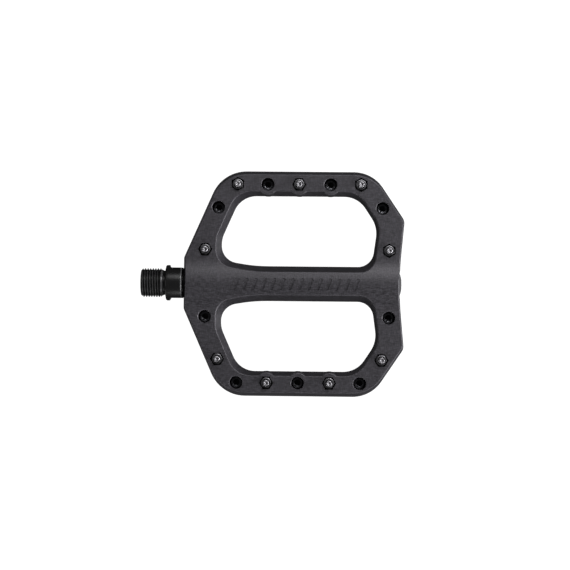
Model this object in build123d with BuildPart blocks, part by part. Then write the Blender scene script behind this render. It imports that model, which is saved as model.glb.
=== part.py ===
from build123d import *
from math import radians, sqrt, tan
import os

# A flat pedal: a nylon platform that spins on a steel axle.
# Millimetres. The axle lies along X, with the origin on its axis at the face that
# seats on the crank arm. +X points away from the crank and +Z out of the upper side.

os.makedirs("parts", exist_ok=True)

# ---- Platform ----
PLATE_HALF = 7.5  # half thickness of the rails
SPAR_HALF = 9.25  # half thickness over the axle
HUMP_REACH = 12.5  # where the hump over the axle meets the flat faces
HUMP_BEND = 6.5  # where the hump turns from hollow to round
BLANK_HALF = 10.0  # half height of the drafted blanks, past every face
BLANK_WIDTH, BLANK_LENGTH = 140.0, 130.0  # past the rim
EDGE_FILLET = 0.5
# Corners of the upper half of the rim at mid-thickness: x, y and corner radius
RIM = [
    (115.7, 8.0, 170.0),
    (117.9, 31.7, 5.0),
    (101.8, 55.65, 17.2),
    (27.55, 55.65, 18.2),
    (8.65, 12.7, 3.0),
]
RIM_DRAFTS = [5, 9, 15, 9]  # degrees, for the sides between those corners
INBOARD_DRAFT, OUTBOARD_DRAFT = 9, 5
# Corners of one foot opening at mid-thickness, and the draft of the side after each
OPENING = [
    (43.3, 8.65, 80.0),
    (101.7, 8.65, 7.9),
    (104.4, 28.4, 14.0),
    (94.6, 43.3, 12.5),
    (36.8, 43.3, 11.8),
    (27.4, 22.0, 13.0),
    (27.4, 11.5, 8.4),
]
OPENING_DRAFTS = [19, 9.5, 9.5, 15, 18, 18, 19]

# ---- Traction pins ----
RAIL_PIN_Y = 48.8
RAIL_PIN_X = [35.4, 50.2, 65.6, 81.1, 96.1]
SIDE_PINS = [(26.0, 37.3), (19.6, 16.5), (106.7, 37.3), (110.1, 16.5)]
TURNED_PIN_X = [35.4, 96.1, 110.1]  # where a nut has its corners across the platform
PIN_R = 1.5
PIN_TIP_Z = 11.0
PIN_SEAT_Z = 1.0  # where the head bears, and the pin's length is 10
PIN_HEAD_R = 2.75
PIN_HEAD_HEIGHT = 3.0
PIN_SOCKET_FLATS, PIN_SOCKET_DEPTH = 2.5, 1.6
PIN_CHAMFER = 0.3
PIN_DIMPLE_R = 0.55
PIN_HOLE_R = 1.6
COUNTERBORE_R = 3.15
NUT_FLATS = 5.5
NUT_THICKNESS = 2.4
NUT_CROWN_R = 2.6  # radius of the nut's flat ring inside its turned corners
NUT_TOP_Z = 6.9
NUT_POCKET_FLATS = 6.1
MOUTH_CHAMFER = 0.25
BOSS_MID = (49.35, 6.25)  # distance from the axle's plane and radius, mid-thickness
BOSS_FACE = (48.65, 5.0)  # the same at the rail's face

# ---- Axle ----
PITCH = 25.4 / 20  # 9/16 inch x 20 threads to the inch
THREAD_R = 25.4 * 9 / 32
THREAD_DEPTH = 0.6134 * PITCH
CREST = PITCH / 8
GROOVES = 7
AXLE_START = -12.3
THREAD_END = -2.3
LEAD_IN = 0.9
UNDERCUT_R = 6.3
COLLAR_R, COLLAR_END = 8.8, 8.3
COLLAR_EDGE, COLLAR_ROUNDING = 0.7, 0.8  # radii of its edges at the crank and at the seal
WRENCH_FLATS, FLATS_START = 15.0, 2.1
SEAL_LAND_R, BUSH_LAND_R = 6.0, 5.0
BUSH_SHOULDER = 11.5
BUSH_START, BUSH_END = 12.6, 25.0
TAPER_START, TAPER_END = 27.5, 93.0
TAPER_R = 4.0
AXLE_END, AXLE_CHAMFER = 112.0, 0.6
KEY_FLATS, KEY_DEPTH = 6.0, 9.0

# ---- Bearings, 6 x 13 x 5 ----
BEARING_BORE_R, BEARING_R, BEARING_WIDTH = 3.0, 6.5, 5.0
BEARINGS = {"inboard": 94.5, "outboard": 99.5}
BALL_ORBIT_R, BALL_R, BALLS = 4.75, 1.0, 8
RACE_GROOVE_R = 1.06
INNER_RING_R, OUTER_RING_R = 4.15, 5.35
SHIELD_THICKNESS, SHIELD_GAP, SHIELD_RECESS = 0.4, 0.08, 0.2
CAGE_RADII, CAGE_WIDTH, CAGE_POCKET_R = (4.5, 5.0), 2.6, 1.1

# ---- Bore of the platform and what closes it ----
SEAL_R, SEAL_START, SEAL_SEAT_END = 7.4, 8.6, 11.8
SEAL_CHAMFER = 0.3
BUSH_R = 6.0
BORE_R = 5.6
CAP_R, CAP_SEAT_START = 6.9, 104.5
CAP_START, CAP_SHOULDER, CAP_CROWN = 112.2, 115.0, 116.6
CAP_CAVITY_R, CAP_CAVITY_END = 5.4, 113.8
CAP_KEY_FLATS, CAP_KEY_DEPTH = 5.0, 2.2
CAP_ORING_X, CAP_ORING_SECTION_R = 113.4, 0.45
CAP_GROOVE_WIDTH, CAP_GROOVE_DEPTH = 1.2, 0.95
WASHER_THICKNESS, WASHER_R = 0.8, 4.6
LOCK_NUT_FLATS, LOCK_NUT_HEX, LOCK_NUT_LENGTH, LOCK_NUT_COLLAR_R = 10.0, 4.2, 6.0, 4.7
LOCK_INSERT_R, LOCK_INSERT_WIDTH = 4.0, 1.3
RUNNING_GAP = 0.04

# ---- Relief bars on the spar ----
BARS = 14
BAR_FIRST_X, BAR_PITCH = 35.0, 4.55
BAR_WIDTH, BAR_LENGTH, BAR_SLANT = 1.7, 6.2, 20
BAR_Y, BAR_DEPTH = -0.4, 0.35


def drafted(corners, drafts, height, lean):
    """Corners at a height above mid-thickness, where the leaning sides meet.

    lean is 1 for a rim that narrows towards the faces and -1 for an opening.
    """
    points = [Vector(x, y) for x, y, _ in corners]
    sides = []
    for start, end, draft in zip(points, points[1:] + points[:1], drafts):
        along = (end - start).normalized()
        inward = Vector(-along.Y, along.X)
        sides.append((start + inward * (lean * height * tan(radians(draft))), along))
    moved = []
    for (p, u), (q, v) in zip(sides[-1:] + sides[:-1], sides):
        moved.append(p + u * ((q - p).cross(v).Z / u.cross(v).Z))
    return moved


def rounded_outline(corners, drafts, height, lean):
    """Draw the closed outline with its rounded corners at a height."""
    points = drafted(corners, drafts, height, lean)
    FilletPolyline(*points, radius=[radius for _, _, radius in corners], close=True)


def pin_places(side):
    """Where the nine pins stand whose tips come out of one side, 1 upper or -1 lower.

    Lower pins are the upper ones turned over about the axle.
    """
    rails = [(x, RAIL_PIN_Y * (1 if k % 2 == 0 else -1)) for k, x in enumerate(RAIL_PIN_X)]
    flanks = [(x, y * (-1 if y > HUMP_REACH * 2 else 1)) for x, y in SIDE_PINS]
    over = Rot(0 if side > 0 else 180, 0, 0)
    return [
        Pos(x, side * y, 0) * over * Rot(0, 0, 30 if x in TURNED_PIN_X else 0)
        for x, y in rails + flanks
    ]


def hexagon(flats):
    """Draw a hexagon with a given width across its flats."""
    RegularPolygon(flats / 2, 6, major_radius=False)


def ring_section(start, end, inner, outer):
    """Draw the half section of a ring about the X axis."""
    with Locations((start, inner)):
        Rectangle(end - start, outer - inner, align=(Align.MIN, Align.MIN))


def save(builder, label):
    """Label a finished piece and write it."""
    builder.part.label = label
    export_step(builder.part, f"parts/{label}.step")


# Worked out from the dimensions above
hump_bend_z = PLATE_HALF + (SPAR_HALF - PLATE_HALF) * (HUMP_REACH - HUMP_BEND) / HUMP_REACH
cap_dome_r = (CAP_R**2 + (CAP_CROWN - CAP_SHOULDER) ** 2) / (2 * (CAP_CROWN - CAP_SHOULDER))
cap_middle_x = CAP_CROWN - cap_dome_r + sqrt(cap_dome_r**2 - (CAP_R / 2) ** 2)
groove_half_width = (PITCH - CREST) / 2
groove_half_root = groove_half_width - THREAD_DEPTH * tan(radians(30))


# ================= Platform body =================

rim_corners = RIM + [(x, -y, radius) for x, y, radius in reversed(RIM)]
rim_drafts = RIM_DRAFTS + [INBOARD_DRAFT] + RIM_DRAFTS[::-1] + [OUTBOARD_DRAFT]

# Both foot openings, as one cutter that leaves the bosses around the rail pins standing
with BuildPart() as openings:
    with BuildSketch(Plane.XY):
        with BuildLine():
            rounded_outline(OPENING, OPENING_DRAFTS, 0, -1)
        make_face()
    with BuildSketch(Plane.XY.offset(BLANK_HALF)):
        with BuildLine():
            rounded_outline(OPENING, OPENING_DRAFTS, BLANK_HALF, -1)
        make_face()
    loft(ruled=True)
    mirror(about=Plane.XY)
    mirror(about=Plane.XZ)

with BuildPart() as bosses:
    for x in RAIL_PIN_X[1:4]:
        with BuildSketch(Plane.XY):
            with Locations((x, BOSS_MID[0])):
                Circle(BOSS_MID[1])
        with BuildSketch(Plane.XY.offset(PLATE_HALF)):
            with Locations((x, BOSS_FACE[0])):
                Circle(BOSS_FACE[1])
        loft(ruled=True)
    mirror(about=Plane.XY)
    mirror(about=Plane.XZ)

# What a nut, a pin and its head take out of the platform, for a pin at the origin
with BuildPart() as pin_hole:
    with BuildSketch(Plane.XY.offset(NUT_TOP_Z - NUT_THICKNESS)):
        hexagon(NUT_POCKET_FLATS)
    extrude(amount=BLANK_HALF)
    with BuildSketch(Plane.XZ):
        with BuildLine():
            Polyline(
                (0, -BLANK_HALF),
                (COUNTERBORE_R + MOUTH_CHAMFER + BLANK_HALF - PLATE_HALF, -BLANK_HALF),
                (COUNTERBORE_R, MOUTH_CHAMFER - PLATE_HALF),
                (COUNTERBORE_R, PIN_SEAT_Z),
                (PIN_HOLE_R, PIN_SEAT_Z),
                (PIN_HOLE_R, BLANK_HALF),
                (0, BLANK_HALF),
                close=True,
            )
        make_face()
    revolve(axis=Axis.Z)


def thickness_outline(drop):
    """Draw the section across the axle: flat rails and the hump, lowered by a drop."""
    edge = BLANK_WIDTH / 2
    face_z = PLATE_HALF - drop
    bend_z = hump_bend_z - drop
    Polyline(
        (-HUMP_REACH, face_z), (-edge, face_z), (-edge, 0),
        (edge, 0), (edge, face_z), (HUMP_REACH, face_z),
    )
    TangentArc((-HUMP_REACH, face_z), (-HUMP_BEND, bend_z), tangent=(1, 0))
    ThreePointArc((-HUMP_BEND, bend_z), (0, SPAR_HALF - drop), (HUMP_BEND, bend_z))
    TangentArc((HUMP_REACH, face_z), (HUMP_BEND, bend_z), tangent=(-1, 0))


def is_hump_seam(edge):
    """Whether an edge is a smooth seam of the hump, where it bends or meets the flat face."""
    return any(abs(abs(edge.center().Y) - y) < 0.01 for y in (HUMP_REACH, HUMP_BEND))


def is_face_edge(edge):
    """Whether an edge lies at or above the upper face, or at or below the lower one."""
    box = edge.bounding_box()
    return box.min.Z > PLATE_HALF - 0.01 or box.max.Z < 0.01 - PLATE_HALF


# The relief bars, cut to an even depth below the hump
with BuildPart() as relief:
    with BuildSketch(Plane.XY):
        for k in range(BARS):
            with Locations((BAR_FIRST_X + k * BAR_PITCH, BAR_Y)):
                SlotOverall(BAR_LENGTH, BAR_WIDTH, rotation=90 - BAR_SLANT)
    extrude(amount=BLANK_HALF)
    with BuildSketch(Plane.YZ):
        with BuildLine():
            thickness_outline(BAR_DEPTH)
        make_face()
    extrude(amount=BLANK_LENGTH, mode=Mode.SUBTRACT)
    mirror(about=Plane.XY)

with BuildPart() as platform_body:
    with BuildSketch(Plane.XY):
        with BuildLine():
            rounded_outline(rim_corners, rim_drafts, 0, 1)
        make_face()
    with BuildSketch(Plane.XY.offset(BLANK_HALF)):
        with BuildLine():
            rounded_outline(rim_corners, rim_drafts, BLANK_HALF, 1)
        make_face()
    loft(ruled=True)
    with BuildSketch(Plane.YZ):
        with BuildLine():
            thickness_outline(0)
        make_face()
    extrude(amount=BLANK_LENGTH, mode=Mode.INTERSECT)
    mirror(about=Plane.XY)
    add(openings.part, mode=Mode.SUBTRACT)
    add(bosses.part)
    # The edges around both faces, without the seams where the hump bends
    seams = [e for e in platform_body.edges().filter_by(Axis.X) if is_hump_seam(e)]
    around = [e for e in platform_body.edges() if is_face_edge(e) and e not in seams]
    fillet(around, radius=EDGE_FILLET)
    add(relief.part, mode=Mode.SUBTRACT)
    for place in pin_places(1) + pin_places(-1):
        add(place * pin_hole.part, mode=Mode.SUBTRACT)
    # The stepped bore for the seal, the bush, the axle, the bearings and the end cap
    with BuildSketch(Plane.XY):
        ring_section(0, SEAL_SEAT_END, 0, SEAL_R)
        ring_section(0, BUSH_END, 0, BUSH_R)
        ring_section(0, BEARINGS["inboard"], 0, BORE_R)
        ring_section(BEARINGS["inboard"], CAP_SEAT_START, 0, BEARING_R)
        ring_section(CAP_SEAT_START, BLANK_LENGTH, 0, CAP_R)
    revolve(axis=Axis.X, mode=Mode.SUBTRACT)
save(platform_body, "platform_body")


# ================= Traction pins and their nuts =================

# One pin standing up through the origin: a cap screw with a chamfered, dimpled tip
with BuildPart() as pin:
    with BuildSketch(Plane.XZ):
        with BuildLine():
            Polyline(
                (0, PIN_SEAT_Z - PIN_HEAD_HEIGHT),
                (PIN_HEAD_R - PIN_CHAMFER, PIN_SEAT_Z - PIN_HEAD_HEIGHT),
                (PIN_HEAD_R, PIN_SEAT_Z - PIN_HEAD_HEIGHT + PIN_CHAMFER),
                (PIN_HEAD_R, PIN_SEAT_Z),
                (PIN_R, PIN_SEAT_Z),
                (PIN_R, PIN_TIP_Z - PIN_CHAMFER),
                (PIN_R - PIN_CHAMFER, PIN_TIP_Z),
                (PIN_DIMPLE_R, PIN_TIP_Z),
                (0, PIN_TIP_Z - PIN_DIMPLE_R),
                close=True,
            )
        make_face()
    revolve(axis=Axis.Z)
    with BuildSketch(Plane.XY.offset(PIN_SEAT_Z - PIN_HEAD_HEIGHT)):
        hexagon(PIN_SOCKET_FLATS)
    extrude(amount=PIN_SOCKET_DEPTH, mode=Mode.SUBTRACT)

# One nut in its pocket around the origin, its corners turned off at the outer face
with BuildPart() as nut:
    with BuildSketch(Plane.XY.offset(NUT_TOP_Z)):
        hexagon(NUT_FLATS)
    extrude(amount=-NUT_THICKNESS)
    with BuildSketch(Plane.XZ):
        with BuildLine():
            Polyline(
                (PIN_R, NUT_TOP_Z - NUT_THICKNESS),
                (NUT_FLATS, NUT_TOP_Z - NUT_THICKNESS),
                (NUT_FLATS, NUT_TOP_Z - (NUT_FLATS - NUT_CROWN_R) * tan(radians(30))),
                (NUT_CROWN_R, NUT_TOP_Z),
                (PIN_R + PIN_CHAMFER, NUT_TOP_Z),
                (PIN_R, NUT_TOP_Z - PIN_CHAMFER),
                close=True,
            )
        make_face()
    revolve(axis=Axis.Z, mode=Mode.INTERSECT)

for face, side in (("top", 1), ("bottom", -1)):
    with BuildPart() as pins:
        for place in pin_places(side):
            add(place * pin.part)
    save(pins, f"traction_pins_{face}")
    with BuildPart() as nuts:
        for place in pin_places(side):
            add(place * nut.part)
    save(nuts, f"pin_nuts_{face}")


# ================= Bush, seal and end cap, fixed in the platform =================

with BuildPart() as inboard_bush:
    with BuildSketch(Plane.XY):
        ring_section(BUSH_START, BUSH_END, BUSH_LAND_R + RUNNING_GAP, BUSH_R)
    revolve(axis=Axis.X)
save(inboard_bush, "inboard_bush")

with BuildPart() as inboard_seal:
    with BuildSketch(Plane.XY) as seal_section:
        ring_section(SEAL_START, SEAL_SEAT_END, SEAL_LAND_R + RUNNING_GAP, SEAL_R)
        front = seal_section.vertices().group_by(Axis.X)[0]
        chamfer(front.sort_by(Axis.Y)[-1], SEAL_CHAMFER)
    revolve(axis=Axis.X)
save(inboard_seal, "inboard_seal")

with BuildPart() as end_cap:
    with BuildSketch(Plane.XY):
        with BuildLine():
            Polyline(
                (CAP_CROWN, 0),
                (CAP_CAVITY_END, 0),
                (CAP_CAVITY_END, CAP_CAVITY_R),
                (CAP_START, CAP_CAVITY_R),
                (CAP_START, CAP_R),
                (CAP_SHOULDER, CAP_R),
            )
            ThreePointArc((CAP_SHOULDER, CAP_R), (cap_middle_x, CAP_R / 2), (CAP_CROWN, 0))
        make_face()
        with Locations((CAP_ORING_X, CAP_R)):
            Rectangle(CAP_GROOVE_WIDTH, 2 * CAP_GROOVE_DEPTH, mode=Mode.SUBTRACT)
    revolve(axis=Axis.X)
    with BuildSketch(Plane.YZ.offset(CAP_CROWN)):
        hexagon(CAP_KEY_FLATS)
    extrude(amount=-CAP_KEY_DEPTH, mode=Mode.SUBTRACT)
save(end_cap, "end_cap")

with BuildPart() as end_cap_oring:
    with BuildSketch(Plane.XY):
        with Locations((CAP_ORING_X, CAP_R - CAP_ORING_SECTION_R)):
            Circle(CAP_ORING_SECTION_R)
    revolve(axis=Axis.X)
save(end_cap_oring, "end_cap_oring")


# ================= Axle =================

# The thread is drawn as rings of its own section and pitch, without the helix
with BuildPart() as spindle:
    with BuildSketch(Plane.XY):
        with BuildLine():
            Polyline(
                (AXLE_START, 0),
                (AXLE_START, THREAD_R - LEAD_IN),
                (AXLE_START + LEAD_IN, THREAD_R),
                (THREAD_END, THREAD_R),
                (THREAD_END, UNDERCUT_R),
                (0, UNDERCUT_R),
                (0, COLLAR_R - COLLAR_EDGE),
            )
            TangentArc((0, COLLAR_R - COLLAR_EDGE), (COLLAR_EDGE, COLLAR_R), tangent=(0, 1))
            Line((COLLAR_EDGE, COLLAR_R), (COLLAR_END - COLLAR_ROUNDING, COLLAR_R))
            TangentArc(
                (COLLAR_END - COLLAR_ROUNDING, COLLAR_R),
                (COLLAR_END, COLLAR_R - COLLAR_ROUNDING),
                tangent=(1, 0),
            )
            Polyline(
                (COLLAR_END, COLLAR_R - COLLAR_ROUNDING),
                (COLLAR_END, SEAL_LAND_R),
                (BUSH_SHOULDER, SEAL_LAND_R),
                (BUSH_SHOULDER, BUSH_LAND_R),
                (TAPER_START, BUSH_LAND_R),
                (TAPER_END, TAPER_R),
                (BEARINGS["inboard"], TAPER_R),
                (BEARINGS["inboard"], BEARING_BORE_R),
                (AXLE_END - AXLE_CHAMFER, BEARING_BORE_R),
                (AXLE_END, BEARING_BORE_R - AXLE_CHAMFER),
                (AXLE_END, 0),
                (AXLE_START, 0),
            )
        make_face()
        for k in range(GROOVES):
            with BuildLine(Plane(origin=(THREAD_END - (k + 0.5) * PITCH, THREAD_R, 0))):
                Polyline(
                    (-groove_half_width, 0),
                    (-groove_half_root, -THREAD_DEPTH),
                    (groove_half_root, -THREAD_DEPTH),
                    (groove_half_width, 0),
                    close=True,
                )
            make_face(mode=Mode.SUBTRACT)
    revolve(axis=Axis.X)
    # The wrench flats, one on each side of the collar
    with BuildSketch(Plane.XY.offset(-COLLAR_R)):
        for side in (1, -1):
            with Locations((FLATS_START, side * WRENCH_FLATS / 2)):
                Rectangle(
                    COLLAR_END - FLATS_START,
                    COLLAR_R,
                    align=(Align.MIN, Align.MIN if side > 0 else Align.MAX),
                )
    extrude(amount=2 * COLLAR_R, mode=Mode.SUBTRACT)
    with BuildSketch(Plane.YZ.offset(AXLE_START)):
        hexagon(KEY_FLATS)
    extrude(amount=KEY_DEPTH, mode=Mode.SUBTRACT)
save(spindle, "spindle")


# ================= Bearings =================

for place, start in BEARINGS.items():
    middle = start + BEARING_WIDTH / 2

    with BuildPart() as inner_ring:
        with BuildSketch(Plane.XY):
            ring_section(start, start + BEARING_WIDTH, BEARING_BORE_R, INNER_RING_R)
            with Locations((middle, BALL_ORBIT_R)):
                Circle(RACE_GROOVE_R, mode=Mode.SUBTRACT)
        revolve(axis=Axis.X)
    save(inner_ring, f"bearing_inner_ring_{place}")

    with BuildPart() as outer_ring:
        with BuildSketch(Plane.XY):
            ring_section(start, start + BEARING_WIDTH, OUTER_RING_R, BEARING_R)
            with Locations((middle, BALL_ORBIT_R)):
                Circle(RACE_GROOVE_R, mode=Mode.SUBTRACT)
        revolve(axis=Axis.X)
    save(outer_ring, f"bearing_outer_ring_{place}")

    with BuildPart() as shields:
        with BuildSketch(Plane.XY):
            for shield_x in (SHIELD_RECESS, BEARING_WIDTH - SHIELD_RECESS - SHIELD_THICKNESS):
                ring_section(
                    start + shield_x,
                    start + shield_x + SHIELD_THICKNESS,
                    INNER_RING_R + SHIELD_GAP,
                    OUTER_RING_R,
                )
        revolve(axis=Axis.X)
    save(shields, f"bearing_shields_{place}")

    with BuildPart() as balls:
        with Locations(Plane.YZ.offset(middle)):
            with PolarLocations(BALL_ORBIT_R, BALLS):
                Sphere(BALL_R)
    save(balls, f"bearing_balls_{place}")

    with BuildPart() as cage:
        with BuildSketch(Plane.XY):
            ring_section(middle - CAGE_WIDTH / 2, middle + CAGE_WIDTH / 2, *CAGE_RADII)
        revolve(axis=Axis.X)
        with Locations(Plane.YZ.offset(middle)):
            with PolarLocations(BALL_ORBIT_R, BALLS):
                Cylinder(
                    CAGE_POCKET_R, 2 * BALL_R, rotation=(0, 90, 0), mode=Mode.SUBTRACT
                )
    save(cage, f"bearing_cage_{place}")


# ================= Washer and lock nut on the axle's end =================

washer_start = BEARINGS["outboard"] + BEARING_WIDTH
nut_start = washer_start + WASHER_THICKNESS

with BuildPart() as lock_washer:
    with BuildSketch(Plane.XY):
        ring_section(washer_start, nut_start, BEARING_BORE_R, WASHER_R)
    revolve(axis=Axis.X)
save(lock_washer, "lock_washer")

with BuildPart() as lock_nut:
    with BuildSketch(Plane.YZ.offset(nut_start)):
        hexagon(LOCK_NUT_FLATS)
    extrude(amount=LOCK_NUT_HEX)
    with BuildSketch(Plane.XY):
        ring_section(nut_start, nut_start + LOCK_NUT_LENGTH, 0, LOCK_NUT_COLLAR_R)
    revolve(axis=Axis.X)
    with BuildSketch(Plane.XY):
        ring_section(nut_start, nut_start + LOCK_NUT_LENGTH, 0, BEARING_BORE_R)
        ring_section(
            nut_start + LOCK_NUT_HEX,
            nut_start + LOCK_NUT_HEX + LOCK_INSERT_WIDTH,
            0,
            LOCK_INSERT_R,
        )
    revolve(axis=Axis.X, mode=Mode.SUBTRACT)
save(lock_nut, "lock_nut")

with BuildPart() as lock_nut_insert:
    with BuildSketch(Plane.XY):
        ring_section(
            nut_start + LOCK_NUT_HEX,
            nut_start + LOCK_NUT_HEX + LOCK_INSERT_WIDTH,
            BEARING_BORE_R,
            LOCK_INSERT_R,
        )
    revolve(axis=Axis.X)
save(lock_nut_insert, "lock_nut_insert")
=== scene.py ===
from math import atan2, cos, pi, radians, sin, tan

import bmesh
import bpy
from mathutils import Matrix, Vector

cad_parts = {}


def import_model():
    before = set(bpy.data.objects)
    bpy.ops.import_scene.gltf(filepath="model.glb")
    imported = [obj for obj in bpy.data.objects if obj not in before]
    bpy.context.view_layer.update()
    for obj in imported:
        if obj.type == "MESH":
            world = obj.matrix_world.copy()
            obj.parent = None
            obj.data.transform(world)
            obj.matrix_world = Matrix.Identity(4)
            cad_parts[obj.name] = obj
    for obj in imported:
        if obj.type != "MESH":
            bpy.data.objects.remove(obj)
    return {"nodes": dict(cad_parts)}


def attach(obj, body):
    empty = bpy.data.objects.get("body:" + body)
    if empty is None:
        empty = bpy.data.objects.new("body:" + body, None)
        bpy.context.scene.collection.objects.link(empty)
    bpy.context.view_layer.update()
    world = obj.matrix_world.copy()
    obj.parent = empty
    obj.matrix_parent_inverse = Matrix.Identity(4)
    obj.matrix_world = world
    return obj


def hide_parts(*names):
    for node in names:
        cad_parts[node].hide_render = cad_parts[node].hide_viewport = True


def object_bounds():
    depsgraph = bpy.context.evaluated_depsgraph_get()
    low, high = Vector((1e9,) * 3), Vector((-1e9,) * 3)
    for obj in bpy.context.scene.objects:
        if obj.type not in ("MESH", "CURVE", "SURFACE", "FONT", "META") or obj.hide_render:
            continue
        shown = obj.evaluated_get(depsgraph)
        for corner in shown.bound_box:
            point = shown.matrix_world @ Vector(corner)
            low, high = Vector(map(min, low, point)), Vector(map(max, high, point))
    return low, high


# The looks of a flat pedal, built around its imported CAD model. Metres, in the CAD
# frame: the axle lies along X, and +Z points out of the upper side.

MM = 0.001
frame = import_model()
cad_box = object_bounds()
NODES = frame["nodes"]


# ================= Mesh helpers =================

def turns(sides, extra=()):
    """Angles once round, evenly spaced, with extra ones put in where a corner falls."""
    even = [2 * pi * k / sides for k in range(sides)]
    return sorted(even + [a % (2 * pi) for a in extra])


def hexagon_radius(angle, flats, corner=0.0):
    """Distance from the middle of a hexagon to its edge, with a corner at an angle."""
    return flats / 2 / cos((angle - corner) % (pi / 3) - pi / 6)


def at_angle(value, angle):
    """A value that is either a number or a function of the angle."""
    return value(angle) if callable(value) else value


def ring(angles, along, radius):
    """One ring of points (along, radius, angle), its sizes being numbers or functions."""
    return [(at_angle(along, a), at_angle(radius, a), a) for a in angles]


def quarter(steps, first=0):
    """Angles that divide a quarter turn into steps, from the first one on."""
    return [pi / 2 * k / steps for k in range(first, steps + 1)]


def add_skin(bm, rings, place):
    """Add a skin through rings of points, each placed by a function (along, radius, angle)."""
    rows = [[bm.verts.new(place(*point)) for point in points] for points in rings]
    for low, high in zip(rows, rows[1:]):
        for k in range(len(low)):
            m = (k + 1) % len(low)
            bm.faces.new((low[k], low[m], high[m], high[k]))


class Thread:
    """A right-hand V thread of one start along an axis, with flat crests and roots."""

    def __init__(self, major, pitch, start, end, depth_share=0.6134, crest_share=0.125):
        self.major, self.pitch, self.start, self.end = major, pitch, start, end
        self.root = major - depth_share * pitch
        self.crest = crest_share * pitch

    def radius(self, along, angle):
        """The thread's radius at a place along its axis and an angle round it."""
        turn = ((along - self.start) / self.pitch - angle / (2 * pi)) % 1
        from_crest = abs(turn - 0.5) * self.pitch
        below_crest = max(0.0, from_crest - self.crest / 2) / tan(radians(30))
        return max(self.root, self.major - below_crest)

    def add(self, bm, angles, place, limit, rows):
        """Add the thread's skin between its ends, with rows to a pitch that run along the
        helix. The radius stays under a limit, a function of the place along the axis."""
        count = int((self.end - self.start) / self.pitch + 2) * rows
        grid = []
        for k in range(-rows, count):
            line = []
            for a in angles:
                along = self.start + self.pitch * (k / rows + a / (2 * pi))
                along = min(max(along, self.start), self.end)
                radius = min(self.radius(along, a), limit(along))
                line.append(bm.verts.new(place(along, radius, a)))
            grid.append(line)
        for k in range(len(grid) - rows - 1):
            for j in range(len(angles)):
                last = j + 1 == len(angles)
                low = grid[k + rows][0] if last else grid[k][j + 1]
                high = grid[k + rows + 1][0] if last else grid[k + 1][j + 1]
                bm.faces.new((grid[k][j], low, high, grid[k + 1][j]))


def finished(bm, name, smooth_angle=32):
    """Weld a mesh, turn its faces outwards and make it an object with smooth curves."""
    bmesh.ops.remove_doubles(bm, verts=bm.verts, dist=0.002 * MM)
    bmesh.ops.dissolve_degenerate(bm, edges=bm.edges, dist=0.001 * MM)
    bmesh.ops.recalc_face_normals(bm, faces=bm.faces)
    mesh = bpy.data.meshes.new(name)
    bm.to_mesh(mesh)
    bm.free()
    mesh.shade_smooth()
    mesh.set_sharp_from_angle(angle=radians(smooth_angle))
    obj = bpy.data.objects.new(name, mesh)
    bpy.context.scene.collection.objects.link(obj)
    return obj


def solids(node):
    """The separate solids of a CAD node, each as a list of its points."""
    bm = bmesh.new()
    bm.from_mesh(NODES[node].data)
    bmesh.ops.remove_doubles(bm, verts=bm.verts, dist=0.001 * MM)
    left, found = set(bm.verts), []
    while left:
        reached, points = [left.pop()], []
        while reached:
            vertex = reached.pop()
            points.append(vertex.co.copy())
            for edge in vertex.link_edges:
                other = edge.other_vert(vertex)
                if other in left:
                    left.discard(other)
                    reached.append(other)
        found.append(points)
    bm.free()
    return found


def middle(points):
    """Middle of the box around some points."""
    return Vector((min(p[i] for p in points) + max(p[i] for p in points)) / 2 for i in range(3))


# ================= Materials =================

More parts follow.
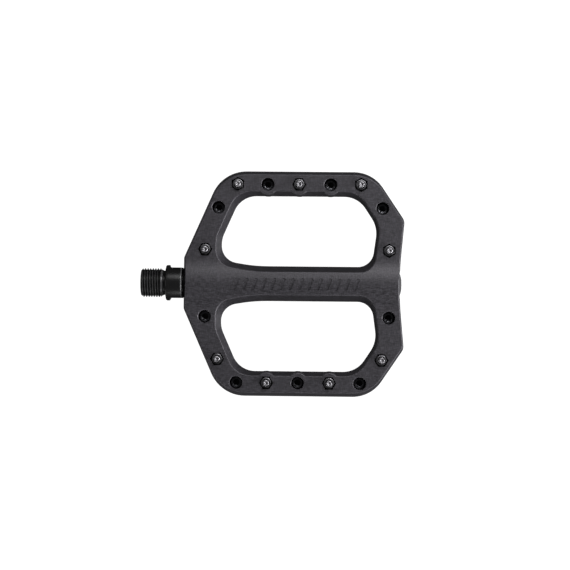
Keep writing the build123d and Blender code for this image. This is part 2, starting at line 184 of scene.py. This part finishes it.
class Surface:
    """A material around one Principled shader, with procedural detail in object space."""

    def __init__(self, name, colour, roughness, metallic=0.0, **sockets):
        self.material = bpy.data.materials.new(name)
        self.material.use_nodes = True
        self.nodes, self.links = self.material.node_tree.nodes, self.material.node_tree.links
        self.shader = self.nodes["Principled BSDF"]
        self.colour, self.roughness = colour, roughness
        self.set("Base Color", (*colour, 1))
        self.set("Roughness", roughness)
        self.set("Metallic", metallic)
        for socket, value in sockets.items():
            self.set(socket.replace("_", " "), value)
        coordinates = self.nodes.new("ShaderNodeTexCoord")
        self.place, self.normal = coordinates.outputs["Object"], coordinates.outputs["Normal"]

    def set(self, socket, value):
        """Set one of the shader's own numbers or colours."""
        self.shader.inputs[socket].default_value = value

    def math(self, operation, a, b=0.0, clamp=False):
        """The result of an operation on numbers or on other nodes' outputs."""
        node = self.nodes.new("ShaderNodeMath")
        node.operation, node.use_clamp = operation, clamp
        for socket, value in zip(node.inputs, (a, b)):
            if isinstance(value, (int, float)):
                socket.default_value = value
            else:
                self.links.new(value, socket)
        return node.outputs[0]

    def parts(self, vector):
        """The X, Y and Z of a vector."""
        node = self.nodes.new("ShaderNodeSeparateXYZ")
        self.links.new(vector, node.inputs["Vector"])
        return node.outputs["X"], node.outputs["Y"], node.outputs["Z"]

    def above(self, value, start, width):
        """0 where a value is under start, rising to 1 over a width."""
        return self.math("MULTIPLY", self.math("SUBTRACT", value, start), 1 / width, clamp=True)

    def below(self, value, end, width):
        """0 where a value is over end, rising to 1 a width under it."""
        return self.math("MULTIPLY", self.math("SUBTRACT", end, value), 1 / width, clamp=True)

    def noise(self, size, detail=2.0, stretch=(1, 1, 1), roughness=0.5):
        """Noise with features of a size in metres, stretched along the axes by factors."""
        mapping = self.nodes.new("ShaderNodeMapping")
        self.links.new(self.place, mapping.inputs["Vector"])
        mapping.inputs["Scale"].default_value = [1 / (size * s) for s in stretch]
        texture = self.nodes.new("ShaderNodeTexNoise")
        texture.inputs["Scale"].default_value = 1.0
        texture.inputs["Detail"].default_value = detail
        texture.inputs["Roughness"].default_value = roughness
        self.links.new(mapping.outputs["Vector"], texture.inputs["Vector"])
        return texture.outputs["Fac"]

    def spread(self, value, low, high):
        """Map the middle of a noise's range onto low to high."""
        node = self.nodes.new("ShaderNodeMapRange")
        node.inputs["From Min"].default_value = 0.3
        node.inputs["From Max"].default_value = 0.7
        node.inputs["To Min"].default_value = low
        node.inputs["To Max"].default_value = high
        self.links.new(value, node.inputs["Value"])
        return node.outputs["Result"]

    def shade(self, factor):
        """Multiply the base colour by a grey factor."""
        mix = self.nodes.new("ShaderNodeMix")
        mix.data_type, mix.blend_type = "RGBA", "MULTIPLY"
        mix.inputs["Factor"].default_value = 1.0
        mix.inputs["A"].default_value = (*self.colour, 1)
        combine = self.nodes.new("ShaderNodeCombineColor")
        for channel in ("Red", "Green", "Blue"):
            self.links.new(factor, combine.inputs[channel])
        self.links.new(combine.outputs["Color"], mix.inputs["B"])
        self.links.new(mix.outputs["Result"], self.shader.inputs["Base Color"])

    def rough(self, value):
        """Let a value drive the roughness."""
        self.links.new(value, self.shader.inputs["Roughness"])

    def bump(self, height, depth, strength=1.0):
        """Raise the surface by a height from 0 to 1 times a depth in metres."""
        node = self.nodes.new("ShaderNodeBump")
        node.inputs["Strength"].default_value = strength
        node.inputs["Distance"].default_value = depth
        self.links.new(height, node.inputs["Height"])
        self.links.new(node.outputs["Normal"], self.shader.inputs["Normal"])


def edge_mask(s):
    """1 on the rounded edges, whose normals lean between the faces and the drafted walls."""
    up = s.math("ABSOLUTE", s.parts(s.normal)[2])
    return s.math("MULTIPLY", s.above(up, 0.36, 0.16), s.below(up, 0.95, 0.08))


def nylon():
    """Glass-filled nylon: dark grey with fine streaks and grain, and a painted highlight that
    makes its rounded edges paler.
    """
    s = Surface(
        "nylon", (0.0158, 0.0149, 0.0178), 0.5,
        Specular_IOR_Level=0.5, Specular_Tint=(0.97, 0.94, 1.0, 1),
    )
    grain = s.noise(0.45 * MM, 3.0)
    along = s.noise(0.42 * MM, 2.0, stretch=(6, 1, 1))
    across = s.noise(0.42 * MM, 2.0, stretch=(1, 6, 1))
    cloud = s.noise(14 * MM, 2.0)
    streaks = s.math("MULTIPLY", s.spread(along, 0.46, 1.54), s.spread(across, 0.54, 1.46))
    tone = s.math("MULTIPLY", streaks, s.spread(cloud, 0.92, 1.08))
    tone = s.math("MULTIPLY", tone, s.spread(grain, 0.70, 1.30))
    # Painted highlight: the rounded edges get a paler colour in place of the light they catch.
    edge_highlight = s.math("MULTIPLY", edge_mask(s), s.spread(grain, 0.5, 1.1))
    s.shade(s.math("ADD", tone, edge_highlight))
    s.rough(s.spread(along, 0.42, 0.56))
    s.bump(s.math("ADD", grain, across), 0.03 * MM, 0.8)
    return s.material


def black_steel():
    """Axle steel: satin black, with painted highlights, a brighter and partly metallic colour, on
    the thread's crests, on the land beside them and on the collar's inner rounding."""
    s = Surface("black_steel", (0.30, 0.30, 0.31), 0.3, Specular_IOR_Level=0.2)
    x, y, z = s.parts(s.place)
    radius = s.math("SQRT", s.math("ADD", s.math("MULTIPLY", y, y), s.math("MULTIPLY", z, z)))
    crests = s.math("MULTIPLY", s.above(radius, 6.95 * MM, 0.15 * MM), s.below(x, -2.9 * MM, MM))
    land = s.math("MULTIPLY", s.above(x, -2.4 * MM, 0.1 * MM), s.below(x, -1.4 * MM, 0.1 * MM))
    corner = s.math("MULTIPLY", s.above(x, 7.4 * MM, 0.3 * MM), s.below(x, 8.15 * MM, 0.1 * MM))
    # Painted highlights: these bands get a brighter, partly metallic colour, varied by blotches,
    # that stands in for the light they catch.
    painted_shine = s.math("MAXIMUM", s.math("MULTIPLY", crests, 0.5), s.math("MAXIMUM", land, corner))
    blotches = s.spread(s.noise(0.9 * MM), 0.8, 1.2)
    painted_shine = s.math("MULTIPLY", painted_shine, s.math("MULTIPLY", blotches, 0.26))
    marks = s.noise(0.22 * MM, 1.0, stretch=(0.35, 12, 12))
    s.shade(s.math("ADD", painted_shine, 0.02))
    s.links.new(painted_shine, s.shader.inputs["Metallic"])
    s.rough(s.spread(marks, 0.25, 0.35))
    s.bump(marks, 0.004 * MM, 0.4)
    return s.material


def painted_shade_steel(name, colour):
    """Dark steel with blotches, used to paint the shade on the pins' heads and the nuts' sides in
    their recesses.
    """
    s = Surface(name, colour, 0.3, metallic=1.0)
    s.shade(s.spread(s.noise(0.6 * MM, 3.0), 0.7, 1.25))
    s.rough(s.spread(s.noise(0.3 * MM), 0.25, 0.42))
    s.bump(s.noise(0.15 * MM), 0.003 * MM, 0.4)
    return s.material


def plated_steel(name="plated_steel", colour=(0.60, 0.59, 0.62), low=0.24, high=0.38):
    """Zinc-plated steel, with blotches where the plating is duller."""
    s = Surface(name, colour, low, metallic=1.0)
    s.shade(s.spread(s.noise(0.7 * MM, 3.0), 0.85, 1.06))
    s.rough(s.spread(s.noise(0.4 * MM, 2.0), low, high))
    s.bump(s.noise(0.12 * MM, 2.0), 0.002 * MM, 0.4)
    return s.material


def bearing_steel():
    """Ground and polished bearing steel."""
    s = Surface("bearing_steel", (0.66, 0.66, 0.68), 0.12, metallic=1.0)
    s.shade(s.spread(s.noise(0.9 * MM), 0.94, 1.03))
    s.rough(s.spread(s.noise(0.15 * MM, 1.0, stretch=(0.3, 10, 10)), 0.08, 0.20))
    return s.material


def bronze():
    """Sintered bronze, slightly porous and oily."""
    s = Surface("bronze", (0.42, 0.26, 0.11), 0.35, metallic=1.0)
    pores = s.noise(0.3 * MM, 4.0)
    s.shade(s.spread(pores, 0.75, 1.1))
    s.rough(s.spread(pores, 0.5, 0.28))
    s.bump(pores, 0.02 * MM, 0.5)
    return s.material


def rubber_with_gap_shade():
    """Black seal rubber with a fine moulded skin, its colour darkened beyond the rubber's own to
    paint the shade in the gap beside the axle's collar.
    """
    # Partly painted shade: the near-black colour stands in for the shade in the seal's gap as well
    # as the rubber's own black.
    s = Surface("rubber_with_gap_shade", (0.0016, 0.0016, 0.002), 0.7, Specular_IOR_Level=0.05)
    s.shade(s.spread(s.noise(1.2 * MM), 0.85, 1.2))
    s.rough(s.spread(s.noise(0.5 * MM), 0.5, 0.7))
    s.bump(s.noise(0.2 * MM), 0.01 * MM, 0.4)
    return s.material


def moulded(name, colour, roughness):
    """A small moulded plastic part."""
    s = Surface(name, colour, roughness)
    s.shade(s.spread(s.noise(1.0 * MM), 0.92, 1.08))
    s.rough(s.spread(s.noise(0.4 * MM), roughness - 0.06, roughness + 0.06))
    s.bump(s.noise(0.18 * MM), 0.008 * MM, 0.4)
    return s.material


def give(material, *objects):
    """Give objects a material in all their slots."""
    for obj in objects:
        obj.data.materials.clear()
        obj.data.materials.append(material)


# ================= Axle =================

THREAD_R = 25.4 * 9 / 32 * MM
THREAD_PITCH = 25.4 / 20 * MM
AXLE_START, THREAD_END = -12.3 * MM, -2.3 * MM
LEAD_IN = 0.9 * MM
UNDERCUT_R, UNDERCUT_LAND_END = 6.3 * MM, -1.4 * MM
COLLAR_R, COLLAR_END = 8.8 * MM, 8.3 * MM
COLLAR_EDGE, COLLAR_ROUNDING = 0.7 * MM, 0.8 * MM
WRENCH_FLATS, FLATS_START = 15.0 * MM, 2.1 * MM
SEAL_LAND_R, BUSH_SHOULDER, BUSH_LAND_R = 6.0 * MM, 11.5 * MM, 5.0 * MM
TAPER_START, TAPER_END, TAPER_R = 27.5 * MM, 93.0 * MM, 4.0 * MM
BEARING_START, BEARING_BORE_R = 94.5 * MM, 3.0 * MM
AXLE_END, AXLE_CHAMFER = 112.0 * MM, 0.6 * MM
KEY_FLATS, KEY_DEPTH, KEY_DRILL_POINT = 6.0 * MM, 9.0 * MM, 1.2 * MM
KEY_CHAMFER = 0.35 * MM
AXLE_EDGE = 0.25 * MM  # the small chamfers at its steps


def around_x(along, radius, angle):
    """A point on the axle, whose angle is taken from +Y towards +Z."""
    return Vector((along, radius * cos(angle), radius * sin(angle)))


def arc_rings(angles, centre, radius, start, end, steps=5):
    """Rings along a quarter of a rounding, around a centre (along, radius)."""
    rings = []
    for k in range(steps + 1):
        a = radians(start + (end - start) * k / steps)
        rings.append(ring(angles, centre[0] + radius * cos(a), centre[1] + radius * sin(a)))
    return rings


def spindle():
    """The whole axle, with a true helical thread and rounded edges."""
    flat_corner = atan2((COLLAR_R**2 - (WRENCH_FLATS / 2) ** 2) ** 0.5, WRENCH_FLATS / 2)
    angles = turns(144, [s * flat_corner + t for s in (1, -1) for t in (0, pi)])
    thread = Thread(THREAD_R, THREAD_PITCH, AXLE_START, THREAD_END)
    bm = bmesh.new()
    thread.add(bm, angles, around_x, lambda x: THREAD_R - LEAD_IN + (x - AXLE_START), rows=14)

    def key_radius(angle):
        return hexagon_radius(angle, KEY_FLATS)

    key_mouth_r = KEY_FLATS / 2 / cos(pi / 6) + KEY_CHAMFER
    end_face = [
        ring(angles, AXLE_START, THREAD_R - LEAD_IN),
        ring(angles, AXLE_START, key_mouth_r),
        ring(angles, lambda a: AXLE_START + key_mouth_r - key_radius(a), key_radius),
        ring(angles, AXLE_START + KEY_DEPTH, key_radius),
        ring(angles, AXLE_START + KEY_DEPTH + KEY_DRILL_POINT, 0.0),
    ]
    add_skin(bm, end_face, around_x)

    def flattened(radius, flats=WRENCH_FLATS):
        return lambda a: min(radius, flats / 2 / max(abs(cos(a)), 1e-6))

    edge = AXLE_EDGE
    rings = [
        ring(angles, THREAD_END, lambda a: thread.radius(THREAD_END, a)),
        ring(angles, THREAD_END, UNDERCUT_R + edge),
        ring(angles, THREAD_END + edge, UNDERCUT_R + edge),
        ring(angles, UNDERCUT_LAND_END, UNDERCUT_R),
        ring(angles, UNDERCUT_LAND_END + edge, UNDERCUT_R - edge),
        ring(angles, -2 * edge, UNDERCUT_R - edge),
        ring(angles, -edge, UNDERCUT_R),
        ring(angles, 0.0, UNDERCUT_R + edge),
    ]
    rings += arc_rings(angles, (COLLAR_EDGE, COLLAR_R - COLLAR_EDGE), COLLAR_EDGE, 180, 90, 7)
    rings += [
        ring(angles, FLATS_START - edge, COLLAR_R),
        ring(angles, FLATS_START, flattened(COLLAR_R, WRENCH_FLATS + 2 * edge)),
        ring(angles, FLATS_START + edge, flattened(COLLAR_R)),
    ]
    for a in quarter(8):
        drop = COLLAR_ROUNDING * (1 - cos(a))
        along = COLLAR_END - COLLAR_ROUNDING * (1 - sin(a))
        flats = WRENCH_FLATS - 2 * max(0.0, drop - COLLAR_ROUNDING + edge)
        rings.append(ring(angles, along, flattened(COLLAR_R - drop, flats)))
    rings += [
        ring(angles, COLLAR_END, SEAL_LAND_R),
        ring(angles, BUSH_SHOULDER, SEAL_LAND_R),
        ring(angles, BUSH_SHOULDER, BUSH_LAND_R),
        ring(angles, TAPER_START, BUSH_LAND_R),
        ring(angles, TAPER_END, TAPER_R),
        ring(angles, BEARING_START, TAPER_R),
        ring(angles, BEARING_START, BEARING_BORE_R),
        ring(angles, AXLE_END - AXLE_CHAMFER, BEARING_BORE_R),
        ring(angles, AXLE_END, BEARING_BORE_R - AXLE_CHAMFER),
        ring(angles, AXLE_END, 0.0),
    ]
    add_skin(bm, rings, around_x)
    return finished(bm, "axle_with_thread", 28)


axle = spindle()
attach(axle, "axle")
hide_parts("spindle")


# ================= Traction pins and nuts =================

PIN_R, PIN_PITCH, PIN_THREADED, PIN_CREST_EDGE = 1.5 * MM, 0.5 * MM, 6.5 * MM, 0.03 * MM
PIN_RIM, PIN_DISH_R, PIN_DISH_DEPTH = 0.22 * MM, 0.62 * MM, 0.3 * MM
PIN_HEAD_R, PIN_HEAD_HEIGHT, PIN_HEAD_EDGE = 2.75 * MM, 3.0 * MM, 0.25 * MM
PIN_SOCKET_FLATS, PIN_SOCKET_DEPTH, PIN_DRILL_POINT = 2.5 * MM, 1.6 * MM, 0.4 * MM
PIN_SOCKET_CHAMFER, PIN_SOCKET_CHAMFER_DEPTH = 0.1 * MM, 0.15 * MM
NUT_FLATS, NUT_CROWN_R, NUT_CHAMFER, NUT_BACK_EDGE = 5.5 * MM, 2.6 * MM, 0.3 * MM, 0.15 * MM


def add_pin(bm, place, length):
    """Add one cap screw, from its head's end at 0 to its tip at a length along its axis."""
    angles = turns(48)
    thread_start, tip_r = length - PIN_THREADED, PIN_R - PIN_CREST_EDGE
    thread = Thread(PIN_R, PIN_PITCH, thread_start, length - PIN_RIM)
    thread.add(bm, angles, place, lambda z: tip_r + (thread.end - z), rows=10)

    # The tip: a rounded rim around a shallow dish
    rim_r, rim_half = (tip_r + PIN_DISH_R) / 2, (tip_r - PIN_DISH_R) / 2
    tip = []
    for k in range(11):
        a = pi * k / 10
        tip.append(ring(angles, thread.end + PIN_RIM * sin(a), rim_r + rim_half * cos(a)))
    for a in quarter(4, first=1):
        tip.append(ring(angles, thread.end - PIN_DISH_DEPTH * sin(a), PIN_DISH_R * cos(a)))
    add_skin(bm, tip, place)

    def socket_radius(angle):
        return hexagon_radius(angle, PIN_SOCKET_FLATS)

    socket_mouth_r = PIN_SOCKET_FLATS / 2 / cos(pi / 6) + PIN_SOCKET_CHAMFER
    head = [
        ring(angles, PIN_SOCKET_DEPTH + PIN_DRILL_POINT, 0.0),
        ring(angles, PIN_SOCKET_DEPTH, socket_radius),
        ring(angles, PIN_SOCKET_CHAMFER_DEPTH, socket_radius),
        ring(angles, 0.0, socket_mouth_r),
    ]
    edge_centre = PIN_HEAD_EDGE, PIN_HEAD_R - PIN_HEAD_EDGE
    head += arc_rings(angles, edge_centre, PIN_HEAD_EDGE, 180, 90, 4)
    head += [
        ring(angles, PIN_HEAD_HEIGHT, PIN_HEAD_R),
        ring(angles, PIN_HEAD_HEIGHT, PIN_R),
        ring(angles, thread_start, PIN_R),
        ring(angles, thread_start, lambda a: thread.radius(thread_start, a)),
    ]
    add_skin(bm, head, place)


def add_nut(bm, place, thickness, corner):
    """Add one nut, its turned face at 0 and its back at a thickness along its axis."""
    angles = turns(72, [corner + k * pi / 3 for k in range(6)])

    def hexagon(angle):
        return hexagon_radius(angle, NUT_FLATS, corner)

    def chamfered(drop):
        return lambda a: drop + (hexagon(a) - NUT_CROWN_R) * tan(radians(30))

    rings = [
        ring(angles, thickness, PIN_R),
        ring(angles, thickness, lambda a: hexagon(a) - NUT_BACK_EDGE),
        ring(angles, thickness - NUT_BACK_EDGE, hexagon),
        ring(angles, chamfered(0.22 * MM), hexagon),
        ring(angles, chamfered(0.17 * MM), lambda a: hexagon(a) - 0.05 * MM),
    ]
    # The crown's rounding, as drops below the face and radii against the crown's
    for drop, wider in ((0.17, 0.02), (0.10, -0.10), (0.04, -0.22), (0.01, -0.32), (0.0, -0.42)):
        rings.append(ring(angles, drop * MM, NUT_CROWN_R + wider * MM))
    rings += [
        ring(angles, 0.0, PIN_R + NUT_CHAMFER),
        ring(angles, NUT_CHAMFER, PIN_R),
    ]
    add_skin(bm, rings, place)


def heights(points):
    """The lowest and the highest Z of some points."""
    return min(p.z for p in points), max(p.z for p in points)


def pin_side(face, up, pin_finish, nut_finish):
    """The pins and the nuts of one side, as two objects; up is 1 or -1, and each finish is
    a row of materials with the bright one first."""
    pins, nuts, crowns = bmesh.new(), bmesh.new(), []
    for points in solids(f"traction_pins_{face}"):
        centre = middle(points)
        low, high = heights(points)
        head = low if up > 0 else high

        def stand(along, radius, angle):
            return Vector(
                (
                    centre.x + radius * cos(angle),
                    centre.y + up * radius * sin(angle),
                    head + up * along,
                )
            )

        add_pin(pins, stand, high - low)
    for points in solids(f"pin_nuts_{face}"):
        centre = middle(points)
        low, high = heights(points)
        face_z = high if up > 0 else low
        farthest = max(points, key=lambda p: (p.xy - centre.xy).length)
        corner = atan2(farthest.y - centre.y, farthest.x - centre.x)

        def lie(along, radius, angle):
            return Vector(
                (
                    centre.x + radius * cos(angle),
                    centre.y + radius * sin(angle),
                    face_z - up * along,
                )
            )

        add_nut(nuts, lie, high - low, corner)
        crowns.append(centre.xy)
    pins, nuts = finished(pins, f"threaded_pins_{face}"), finished(nuts, f"hex_nuts_{face}", 25)
    for piece, finish in ((pins, pin_finish), (nuts, nut_finish)):
        piece.data.materials.clear()
        for material in finish:
            piece.data.materials.append(material)
    # The heads' ends, all at one height, get a dark painted shade, and their sides and sockets a
    # darker painted shade
    for polygon in pins.data.polygons:
        along = up * (polygon.center.z - head)
        if along < PIN_HEAD_HEIGHT:
            polygon.material_index = 1 if along < 0.05 * MM else 2
    # The nuts' sides and turned corners get the darker painted shade too
    for polygon in nuts.data.polygons:
        off_axis = min((polygon.center.xy - crown).length for crown in crowns)
        polygon.material_index = int(off_axis > NUT_CROWN_R or abs(polygon.normal.z) < 0.5)
    return pins, nuts


# Painted shade: the pins' heads and the nuts' sides sit in recesses, and these dark steels stand
# in for the shade there, lighter on the heads' ends.
recess_shade = painted_shade_steel("recess_shade", (0.018, 0.018, 0.02))
pin_finish = (
    plated_steel("pin_plating", (0.25, 0.245, 0.26), 0.3, 0.45),
    painted_shade_steel("head_end_shade", (0.10, 0.10, 0.11)),
    recess_shade,
)
nut_finish = plated_steel("nut_plating", (0.14, 0.138, 0.146), 0.3, 0.45), recess_shade
for face, up in (("top", 1), ("bottom", -1)):
    pins, nuts = pin_side(face, up, pin_finish, nut_finish)
    for piece, node in ((pins, f"traction_pins_{face}"), (nuts, f"pin_nuts_{face}")):
        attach(piece, "platform")
        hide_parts(node)


# ================= Materials of the CAD pieces =================

give(black_steel(), axle)
give(nylon(), NODES["platform_body"])
give(moulded("cap_plastic", (0.028, 0.027, 0.031), 0.45), NODES["end_cap"])
give(rubber_with_gap_shade(), NODES["inboard_seal"], NODES["end_cap_oring"])
give(bronze(), NODES["inboard_bush"])
give(plated_steel("nut_steel"), NODES["lock_nut"], NODES["lock_washer"])
give(moulded("insert_nylon", (0.05, 0.10, 0.40), 0.5), NODES["lock_nut_insert"])
ring_steel = bearing_steel()
shield_steel = plated_steel("shield_steel", (0.45, 0.45, 0.46), 0.3, 0.5)
cage_nylon = moulded("cage_nylon", (0.55, 0.48, 0.34), 0.5)
for place in ("inboard", "outboard"):
    for part in ("inner_ring", "outer_ring", "balls"):
        give(ring_steel, NODES[f"bearing_{part}_{place}"])
    give(shield_steel, NODES[f"bearing_shields_{place}"])
    give(cage_nylon, NODES[f"bearing_cage_{place}"])


# ================= Floor, light and camera =================

CAMERA_FOOT = Vector((0.0788, -0.0153, 0))  # the point straight under the camera
CAMERA_HEIGHT = 0.8
CAMERA_ROLL = radians(0.53)
TARGET = Vector((0.0589, -0.0006, 0))  # what the camera and the lights are aimed at
LENS, SENSOR = 102.0, 36.0
FLOOR_RADIUS, FLOOR_CURVE = 6.0, 5.0
FLOOR_GLOW = 0.97


def floor_material():
    """An even matt white that also glows."""
    s = Surface("pale_floor", (0.1, 0.1, 0.1), 0.9)
    s.set("Emission Color", (1, 1, 1, 1))
    s.set("Emission Strength", FLOOR_GLOW)
    return s.material


def floor():
    """A wide pale floor, curving up far behind on all sides, that the turning platform
    clears at every angle."""
    bm = bmesh.new()
    angles = turns(96)
    rings = [ring(angles, 0.0, 0.0)]
    for a in quarter(12):
        rings.append(ring(angles, FLOOR_CURVE * (1 - cos(a)), FLOOR_RADIUS + FLOOR_CURVE * sin(a)))
    low_z = -max(p.yz.length for p in cad_box)

    def lay(along, distance, angle):
        return Vector((distance * cos(angle), distance * sin(angle), low_z + along))

    add_skin(bm, rings, lay)
    obj = finished(bm, "floor")
    obj.data.flip_normals()
    give(floor_material(), obj)
    obj.visible_diffuse = obj.visible_glossy = obj.visible_shadow = False


def softbox(name, azimuth, tilt, watts, size=0.45, distance=1.2):
    """A soft light aimed at the pedal; tilt is from straight up, azimuth from +X to +Y."""
    light = bpy.data.lights.new(name, "AREA")
    light.shape, light.size = "SQUARE", size
    light.energy = watts
    obj = bpy.data.objects.new(name, light)
    a, t = radians(azimuth), radians(tilt)
    away = Vector((sin(t) * cos(a), sin(t) * sin(a), cos(t)))
    obj.location = TARGET + away * distance
    obj.rotation_mode = "QUATERNION"
    obj.rotation_quaternion = away.to_track_quat("Z", "Y")
    obj.visible_camera = False
    bpy.context.scene.collection.objects.link(obj)


def camera():
    """A camera almost straight above, turned by its small roll."""
    data = bpy.data.cameras.new("camera")
    data.lens, data.sensor_width = LENS, SENSOR
    obj = bpy.data.objects.new("camera", data)
    eye = CAMERA_FOOT + Vector((0, 0, CAMERA_HEIGHT))
    back = (eye - TARGET).normalized()
    right = Vector((cos(CAMERA_ROLL), sin(CAMERA_ROLL), 0))
    right = (right - back * right.dot(back)).normalized()
    up = back.cross(right)
    turn = Matrix((right, up, back)).transposed().to_4x4()
    obj.matrix_world = Matrix.Translation(eye) @ turn
    bpy.context.scene.collection.objects.link(obj)
    bpy.context.scene.camera = obj


def world(level):
    """Even dim light from all around."""
    sky = bpy.data.worlds.new("studio")
    sky.use_nodes = True
    sky.node_tree.nodes["Background"].inputs["Color"].default_value = (1, 1, 1, 1)
    sky.node_tree.nodes["Background"].inputs["Strength"].default_value = level
    bpy.context.scene.world = sky


floor()
camera()
world(0.06)
softbox("right_low", 0, 78, 14.0)
softbox("right_below", 0, 125, 1.0)
softbox("front_right", 330, 62, 13.0)
softbox("back_right", 60, 40, 8.6)
softbox("back", 90, 40, 3.6)
softbox("front_low", 275, 70, 3.0)
softbox("left_low", 180, 86, 2.2)
softbox("front_left_low", 230, 84, 5.5)
bpy.context.scene.view_settings.view_transform = "Standard"
